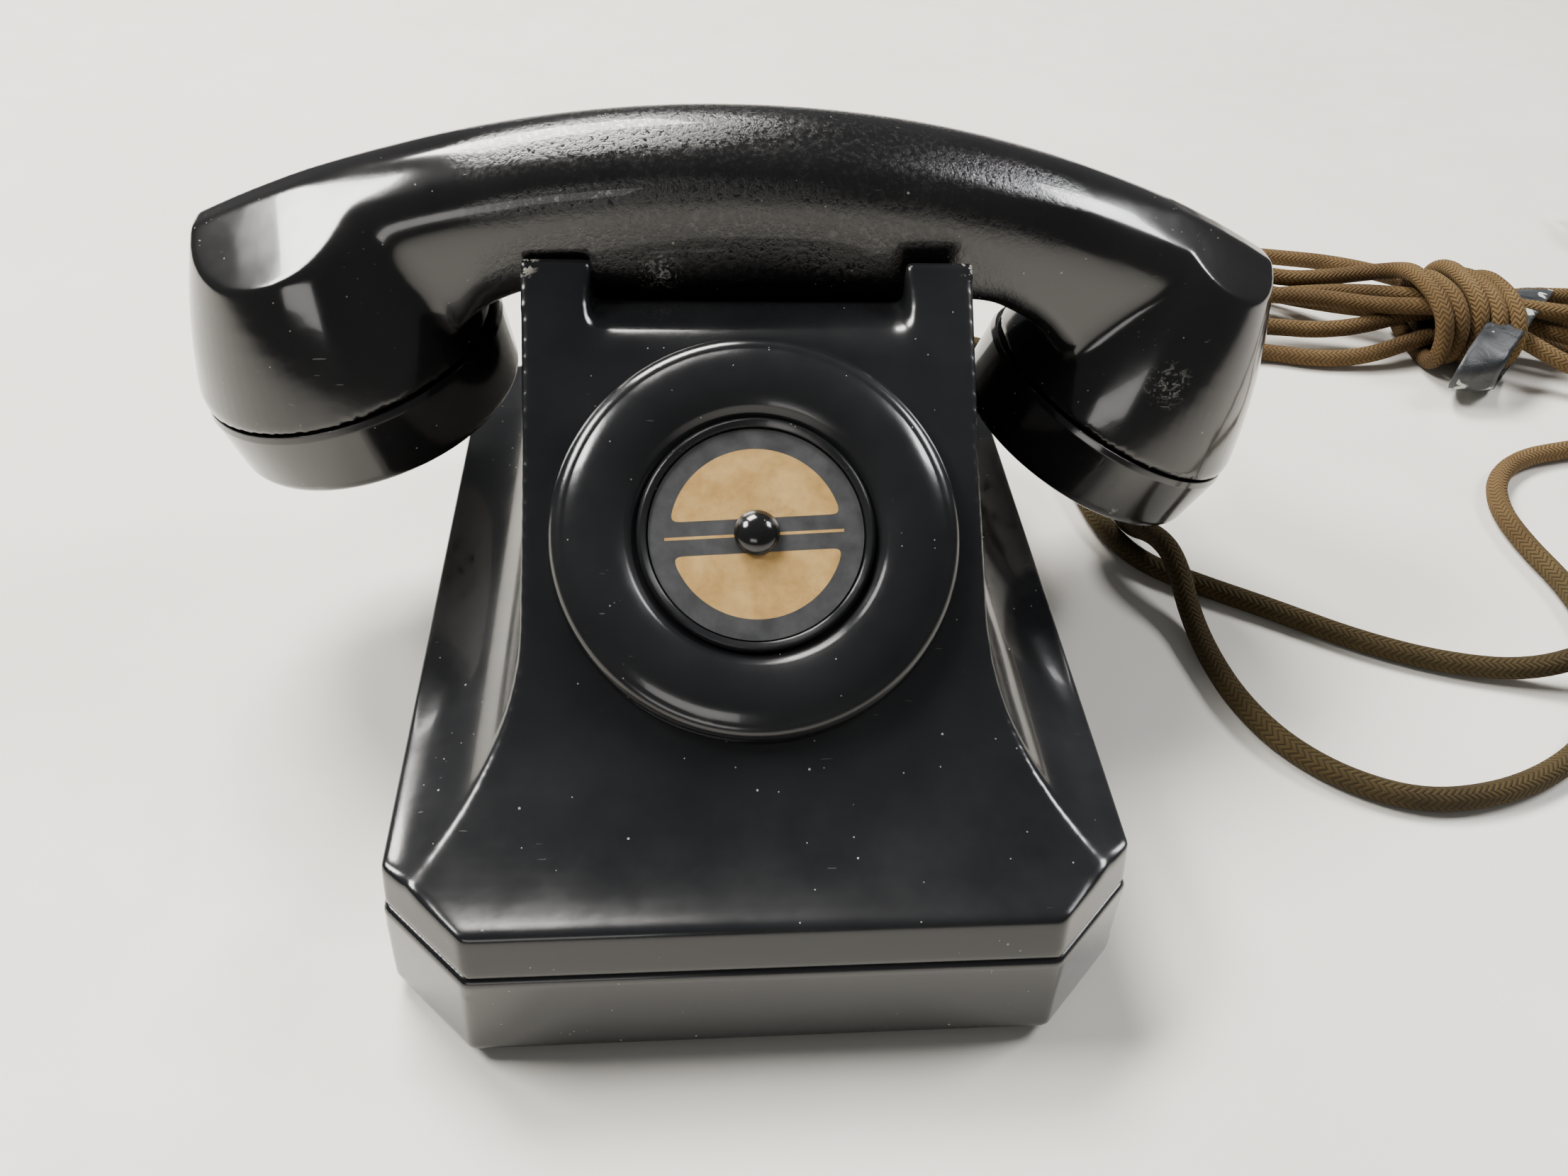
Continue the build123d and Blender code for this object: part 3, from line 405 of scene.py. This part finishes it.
line_route = [
    (50.0, 107.0, 12.5), (50.0, 116.0, 12.5), (51.4, 126.0, 9.9), (56.6, 135.2, 6.2),
    (66.0, 141.0, Z + 0.5),
    (77.0, 141.2, Z), (86.8, 135.5, Z), (92.6, 125.5, Z), (95.0, 113.0, Z), (96.5, 99.0, Z),
    (98.0, 84.0, Z), (99.5, 68.0, Z), (101.5, 52.5, Z), (108.0, 38.0, Z), (122.0, 28.5, Z),
    (137.0, 19.5, Z), (155.0, 7.5, Z), (174.0, -0.8, Z), (194.0, -5.0, Z + 1.0), (209.0, -5.5, OVER),
    (223.0, -3.5, OVER), (238.0, 0.5, Z + 1.0), (256.0, 8.0, Z), (273.0, 19.0, Z), (289.0, 33.0, Z),
    (303.0, 49.0, Z), (316.0, 67.0, Z), (327.0, 87.0, Z), (333.0, 103.0, Z), (336.0, 117.0, Z),
    (336.5, 129.0, Z), (334.0, 139.0, Z + 0.5), (328.0, 147.0, Z + 1.0), (319.0, 151.5, Z + 2.0),
    (312.0, 153.5, Z + 2.0),
]

tail_route = [
    (312.0, 160.5, Z), (322.0, 161.0, Z), (333.5, 163.5, Z), (344.5, 169.0, Z), (352.5, 178.5, Z + 0.3),
    (357.0, 191.0, Z + 2.5), (358.0, 204.0, 9.5), (358.0, 217.0, 12.0),
]

# the spare length as it is first laid: six strands fanned to the left, each in its own slot of the waist
strands = [
    (300.0, 155.5, 6.0), (284.0, 157.5, 8.6), (266.0, 159.0, 8.6), (248.0, 159.0, 8.6),
    (232.0, 160.0, 8.6),
    (216.0, 168.0, 6.0), (200.0, 180.0, 3.0), (184.0, 188.0, 3.0), (168.0, 186.0, 3.0),
    (157.0, 193.0, 3.0),
    (160.0, 206.0, 3.0), (174.0, 212.0, 3.0),
    (190.0, 211.0, 3.0), (206.0, 206.0, 4.0), (222.0, 194.0, 8.0), (234.0, 172.0, 14.0),
    (246.0, 158.0, 14.4),
    (262.0, 157.0, 14.4), (280.0, 158.0, 14.4), (294.0, 158.0, 14.0), (305.0, 152.0, 12.0),
    (309.0, 142.0, 10.0),
    (303.0, 132.0, 9.0), (290.0, 131.0, 8.6),
    (276.0, 138.0, 8.6), (262.0, 149.0, 8.6), (248.0, 153.0, 8.6), (232.0, 153.0, 8.6),
    (216.0, 150.5, 5.0),
    (200.0, 150.5, 3.0), (184.0, 153.0, 3.0), (170.0, 153.0, 3.0), (158.0, 158.0, 3.0),
    (155.0, 168.0, 3.0),
    (163.0, 176.0, 3.0), (176.0, 176.0, 3.0),
    (190.0, 173.0, 3.0), (204.0, 172.0, 5.0), (220.0, 166.0, 9.0), (234.0, 153.0, 14.4),
    (248.0, 150.0, 14.4),
    (264.0, 147.0, 14.4), (280.0, 141.0, 14.4), (294.0, 139.0, 14.0), (304.0, 133.0, 10.0),
    (303.0, 124.0, 5.0),
    (292.0, 121.0, 3.2), (278.0, 124.0, 3.2),
    (264.0, 134.0, 8.0), (250.0, 143.5, 14.4), (236.0, 146.0, 14.4), (222.0, 153.0, 10.0),
    (206.0, 160.0, 8.8),
    (190.0, 162.0, 8.8), (174.0, 164.0, 9.0), (160.0, 168.0, 9.0), (150.0, 178.0, 9.0),
    (154.0, 190.0, 9.5),
    (166.0, 195.0, 9.5),
    (180.0, 186.0, 9.0), (196.0, 176.0, 9.0), (212.0, 174.0, 11.0), (224.0, 171.0, 15.0),
]
waist_ring = [  # y and z of one turn round the waist
    (165.0, 20.0), (158.0, 23.6), (150.0, 24.2), (142.0, 23.6), (135.5, 20.0), (133.0, 13.5),
    (134.5, 7.0), (140.0, 3.2), (150.0, 2.9), (160.0, 3.2), (165.5, 7.0), (167.0, 13.5),
]
last_stretch = [(262.0, 163.0, 3.2), (275.0, 164.5, Z), (288.0, 163.5, Z), (300.0, 161.5, Z)]


def binding_turns(turns=5, first_x=231.0, advance=28.08, left_out=4):
    """Turns of the cord round the waist, each a little further to the right."""
    steps = turns * len(waist_ring)
    points = []
    for k in range(steps - left_out):
        y, z = waist_ring[k % len(waist_ring)]
        points.append((first_x + advance * k / (steps - 1), y, z))
    return points


def fine_line(points, per_span=6):
    """Points of the quadratic spline that the control points give, and each one's place among them."""
    middles = (points[1:-2] + points[2:-1]) / 2
    starts = np.vstack([points[:1], middles])[:, None]
    ends = np.vstack([middles, points[-1:]])[:, None]
    t = (np.arange(per_span) / per_span)[None, :, None]
    line = (1 - t) ** 2 * starts + 2 * t * (1 - t) * points[1:-1][:, None] + t**2 * ends
    places = np.arange(1, len(points) - 1)[:, None] + t[..., 0] - 0.5
    return np.vstack([line.reshape(-1, 3), points[-1:]]), np.append(places, len(points) - 1)


def push_pairs(line, places, others, near, share, totals, counts):
    """Adds to each control point the way out of every stretch that lies too close."""
    clear = CORD * 1.04
    squares = (line**2).sum(1)[:, None] + (others**2).sum(1)[None] - 2 * line @ others.T
    first, second = np.where((squares < (CORD * 1.035) ** 2) & near)
    way = line[first] - others[second]
    gap = np.linalg.norm(way, axis=1, keepdims=True) + 1e-9
    push = (clear - gap) * share * way / gap
    middle = np.rint(places[first]).astype(int)
    for offset, weight in ((-1, 0.25), (0, 0.5), (1, 0.25)):
        target = middle + offset
        inside = (target >= 0) & (target < len(totals))
        np.add.at(totals, target[inside], push[inside] * weight)
        np.add.at(counts, target[inside], weight)


def settle(before, loose, after, other, rounds=1500):
    """Loose control points of a cord, pushed apart for a fixed number of rounds wherever a stretch lies too
    close to another or to the other cord.
    """
    points = np.array(before + loose + after)
    laid = points.copy()
    free = np.zeros((len(points), 1))
    free[len(before) : len(before) + len(loose)] = 1
    other_line, _ = fine_line(np.array(other))
    places = fine_line(points)[1]
    first = np.searchsorted(places, len(before) - 3)
    places = places[first:]
    apart = np.abs(places[:, None] - places[None]) > 3.2
    for _ in range(rounds):
        line = fine_line(points)[0][first:]
        totals = np.zeros_like(points)
        counts = np.zeros(len(points))
        push_pairs(line, places, line, apart, 0.5, totals, counts)
        push_pairs(line, places, other_line, True, 1.0, totals, counts)
        points += free * 0.9 * totals / np.maximum(counts, 1)[:, None]
        moved = points - laid
        bend = np.zeros_like(points)
        bend[1:-1] = (moved[:-2] + moved[2:]) / 2 - moved[1:-1]
        points += free * 0.15 * bend
        points[:, 2] = np.where(free[:, 0] > 0, np.maximum(points[:, 2], Z), points[:, 2])
    settled = points[len(before) : len(before) + len(loose)].round(1)
    return [tuple(p) for p in settled.tolist()]


hank_route = settle(line_route, strands + binding_turns() + last_stretch, tail_route, handset_route)


def spline_line(name, points):
    """Points of the smooth line that the route's control points give."""
    data = bpy.data.curves.new(name + "_line", "CURVE")
    data.dimensions = "3D"
    spline = data.splines.new("NURBS")
    spline.points.add(len(points) - 1)
    for point, place in zip(spline.points, points):
        point.co = ((place[0] + MIDDLE) * MM, place[1] * MM, place[2] * MM, 1.0)
    spline.order_u = 3
    spline.use_endpoint_u = True
    spline.resolution_u = 6
    holder = bpy.data.objects.new(name + "_line", data)
    bpy.context.collection.objects.link(holder)
    bpy.context.view_layer.update()
    mesh = bpy.data.meshes.new_from_object(holder)
    line = [v.co.copy() for v in mesh.vertices]
    bpy.data.objects.remove(holder)
    bpy.data.meshes.remove(mesh)
    bpy.data.curves.remove(data)
    return line


def tube(name, line, radius, sides=20):
    """Mesh tube along the line, with turns round and millimetres along as its UV."""
    ways = []
    for i in range(len(line)):
        ways.append((line[min(i + 1, len(line) - 1)] - line[max(i - 1, 0)]).normalized())
    side = ways[0].orthogonal().normalized()
    rings, lengths, run = [], [], 0.0
    for i, (place, way) in enumerate(zip(line, ways)):
        if i:
            run += (place - line[i - 1]).length
            side = (side - way * side.dot(way)).normalized()
        lengths.append(run / MM)
        other = way.cross(side)
        ring = []
        for k in range(sides):
            angle = 2 * math.pi * k / sides
            ring.append(place + (side * math.cos(angle) + other * math.sin(angle)) * radius)
        rings.append(ring)
    verts = [v for ring in rings for v in ring]
    faces, uvs = [], []
    for i in range(len(line) - 1):
        for k in range(sides):
            j = (k + 1) % sides
            faces.append((i * sides + k, i * sides + j, (i + 1) * sides + j, (i + 1) * sides + k))
            a, b = k / sides, (k + 1) / sides
            uvs += [(a, lengths[i]), (b, lengths[i]), (b, lengths[i + 1]), (a, lengths[i + 1])]
    for i in (0, len(line) - 1):
        cap = tuple(i * sides + k for k in range(sides))
        faces.append(cap if i else cap[::-1])
        uvs += [(0.0, lengths[i])] * sides
    mesh = bpy.data.meshes.new(name)
    mesh.from_pydata(verts, [], faces)
    layer = mesh.uv_layers.new(name="UVMap")
    for loop, uv in zip(layer.data, uvs):
        loop.uv = uv
    mesh.polygons.foreach_set("use_smooth", [True] * (len(faces) - 2) + [False] * 2)
    piece = bpy.data.objects.new(name, mesh)
    bpy.context.collection.objects.link(piece)
    return piece


handset_line = spline_line("handset_cord", handset_route)
handset_cord = tube("braided_handset_cord", handset_line, CORD / 2 * MM)
handset_cord.data.materials.append(materials["brown_braid"])
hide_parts("handset_cord")
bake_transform(handset_cord)

full_line = spline_line("line_cord", line_route + hank_route + tail_route)
line_cord = tube("braided_line_cord", full_line, CORD / 2 * MM)
line_cord.data.materials.append(materials["brown_braid"])
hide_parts("line_cord", "cord_hank", "line_cord_tail")
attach(line_cord, "base")


def wrap_tape():
    """Creased strip of tape, wound slantwise round the tied strands."""
    verts, faces = [], []
    around, across = 72, 9
    for i in range(around):
        t = 2 * math.pi * i / around
        y = 141.5 + 25.5 * math.copysign(abs(math.cos(t)) ** 0.75, math.cos(t))
        z = 10.4 + 10.0 * math.copysign(abs(math.sin(t)) ** 0.8, math.sin(t))
        middle = 261.0 + MIDDLE + 0.9 * (y - 141.5)
        for k in range(across):
            x = middle + (k / (across - 1) - 0.5) * 15.0
            lift = 0.5 * noise.noise(Vector((x, y, z)) * 0.22) - 0.5 * (abs(k - 4) / 4) ** 2
            out = Vector((0, y - 141.5, (z - 10.4) * 2.0)).normalized() * lift
            verts.append(Vector((x, y, max(z, 0.4))) * MM + out * MM)
    for i in range(around):
        for k in range(across - 1):
            j = (i + 1) % around
            faces.append((i * across + k, i * across + k + 1, j * across + k + 1, j * across + k))
    mesh = bpy.data.meshes.new("tape_wrap")
    mesh.from_pydata(verts, [], faces)
    mesh.polygons.foreach_set("use_smooth", [True] * len(faces))
    piece = bpy.data.objects.new("tape_wrap", mesh)
    bpy.context.collection.objects.link(piece)
    skin = piece.modifiers.new("skin", "SOLIDIFY")
    skin.thickness = 0.5 * MM
    skin.offset = 0.0
    piece.data.materials.append(materials["friction_tape"])
    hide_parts("hank_tape")
    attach(piece, "base")


wrap_tape()


# ---------------------------------------------------------------- rounded castings and mouldings
def soft_copy(node, name, voxel, smooth, body, melted=None, passes=0):
    """Finely meshed copy of a CAD node with rounded edges, rounded most where melted() says so."""
    source = nodes[node]
    piece = bpy.data.objects.new(name, source.data.copy())
    bpy.context.collection.objects.link(piece)
    remesh = piece.modifiers.new("remesh", "REMESH")
    remesh.mode = "VOXEL"
    remesh.voxel_size = voxel * MM
    remesh.use_smooth_shade = True
    ease = piece.modifiers.new("ease", "SMOOTH")
    ease.factor = 0.5
    ease.iterations = smooth
    apply_modifiers(piece)
    if melted:
        group = piece.vertex_groups.new(name="melted")
        for vertex in piece.data.vertices:
            weight = melted(vertex.co / MM)
            if weight > 0.01:
                group.add([vertex.index], weight, "REPLACE")
        ease = piece.modifiers.new("melt", "SMOOTH")
        ease.factor = 0.5
        ease.iterations = passes
        ease.vertex_group = "melted"
        apply_modifiers(piece)
    piece.data.materials.clear()
    piece.data.materials.append(materials[slots[node]])
    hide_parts(node)
    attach(piece, body)
    return piece


def apply_modifiers(piece):
    bpy.context.view_layer.update()
    view = piece.evaluated_get(bpy.context.evaluated_depsgraph_get())
    mesh = bpy.data.meshes.new_from_object(view)
    piece.modifiers.clear()
    piece.data = mesh


def fade(value, full, none):
    """1 at full, falling smoothly to 0 at none."""
    t = min(max((value - none) / (full - none), 0.0), 1.0)
    return t * t * (3 - 2 * t)


def to_segment(point, a, b):
    way = b - a
    t = min(max((point - a).dot(way) / way.length_squared, 0.0), 1.0)
    return (point - a - way * t).length


# the seam's centre and the axis of each cup, in the part's own frame
receiver_seam = (Vector((-87.6, 40.0, 70.0)), Vector((-0.245, 0.0, 0.969)))
transmitter_seam = (Vector((86.9, 40.0, 53.8)), Vector((0.4195, 0.0, 0.9078)))
grip_middle = -0.4


def melted_grip(point):
    """The grip is one soft rounded form that flows into both cups, whose seams stay crisp."""
    centre, axis = receiver_seam if point.x < 0 else transmitter_seam
    above = (point - centre).dot(axis)
    out = abs(point.x - grip_middle)
    return fade(out, 70.0, 92.0) * max(fade(above, 13.0, 5.0), fade(out, 52.0, 60.0))


shelf_edge = (Vector((MIDDLE - 30, 13.5, 89.8)), Vector((MIDDLE + 30, 13.5, 89.8)))
horn_feet = []
for horn_x in (MIDDLE - 31, MIDDLE + 31):
    horn_feet.append((Vector((horn_x, -14.0, 76.0)), Vector((horn_x, 14.0, 89.6))))


def melted_shelf(point):
    """The shelf's front edge and the feet of the front horns blend into the face."""
    near = max(fade(to_segment(point, *foot), 2.0, 6.0) for foot in horn_feet)
    return max(near, fade(to_segment(point, *shelf_edge), 4.0, 9.0)) if point.z > 70 else 0.0


soft_copy("housing", "cast_housing", 0.65, 13, "base", melted_shelf, 60)
soft_copy("base_pan", "cast_pan", 0.8, 3, "base")
soft_copy("handset_handle", "moulded_handle", 0.6, 8, "handset", melted_grip, 170)


# ---------------------------------------------------------------- floor and light
def make_floor():
    """Plain pale floor."""
    mesh = bpy.data.meshes.new("floor")
    mesh.from_pydata([(-3, -3, 0), (3, -3, 0), (3, 3, 0), (-3, 3, 0)], [], [(0, 1, 2, 3)])
    floor = bpy.data.objects.new("floor", mesh)
    bpy.context.collection.objects.link(floor)
    n = Nodes("pale_floor")
    mottle = n.noise(9, 5, 0.6)
    color = n.ramp(mottle, (0.3, (0.83, 0.79, 0.72)), (0.7, (0.89, 0.855, 0.785)))
    floor.data.materials.append(n.finish(color, n.ramp(n.noise(60, 3), (0.3, 0.4), (0.7, 0.5))))


def add_area(name, place, target, size, power, color=(1, 1, 1)):
    data = bpy.data.lights.new(name, "AREA")
    data.shape = "RECTANGLE"
    data.size, data.size_y = size
    data.energy = power
    data.color = color
    light = bpy.data.objects.new(name, data)
    bpy.context.collection.objects.link(light)
    light.location = place
    light.rotation_euler = (Vector(target) - Vector(place)).to_track_quat("-Z", "Y").to_euler()


make_floor()
add_area("key", (-0.42, 0.95, 1.45), (0, 0.05, 0.05), (0.75, 0.5), 58, (1.0, 0.975, 0.93))
add_area("window", (-0.95, 0.25, 1.15), (0, 0, 0.05), (0.5, 0.35), 26, (1.0, 0.985, 0.96))
add_area("fill", (1.15, 0.3, 1.15), (0, 0, 0.05), (0.5, 0.35), 17, (0.98, 0.98, 1.0))
add_area("low_front", (-0.5, -1.9, 0.7), (0, 0, 0.0), (0.9, 0.4), 4, (1.0, 0.98, 0.95))
world = bpy.data.worlds.new("studio")
world.use_nodes = True
world.node_tree.nodes["Background"].inputs[0].default_value = (0.84, 0.86, 0.88, 1)
world.node_tree.nodes["Background"].inputs[1].default_value = 0.15
bpy.context.scene.world = world
